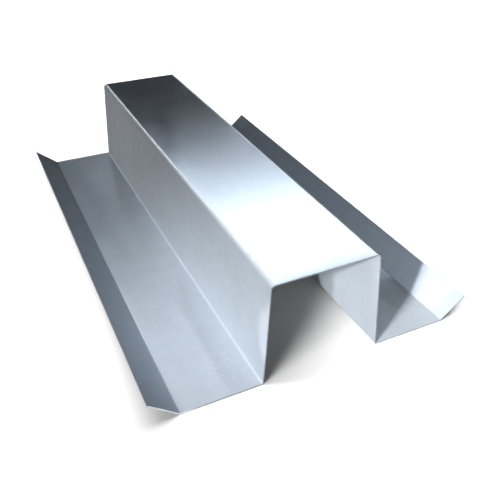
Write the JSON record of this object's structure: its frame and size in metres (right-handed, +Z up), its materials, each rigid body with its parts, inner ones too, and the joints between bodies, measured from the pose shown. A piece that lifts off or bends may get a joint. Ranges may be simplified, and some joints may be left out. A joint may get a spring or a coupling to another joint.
{
  "type": "hat channel",
  "caption": "Length of folded sheet-metal hat channel: a flat crown on slightly splayed webs, with flanges along both feet that end in turned-up lips.",
  "frame": {"origin": "on the floor, below the middle of the crown", "axes": "+Y along the length, +Z up through the crown, +X across the flanges"},
  "size_m": [0.308, 0.5, 0.1],
  "materials": {
    "galvanised_steel": "bright skin-passed zinc coating, semi-gloss, with bare sheared edges"
  },
  "bodies": {
    "root": {"hat_channel": "galvanised_steel"}
  },
  "joints": []
}
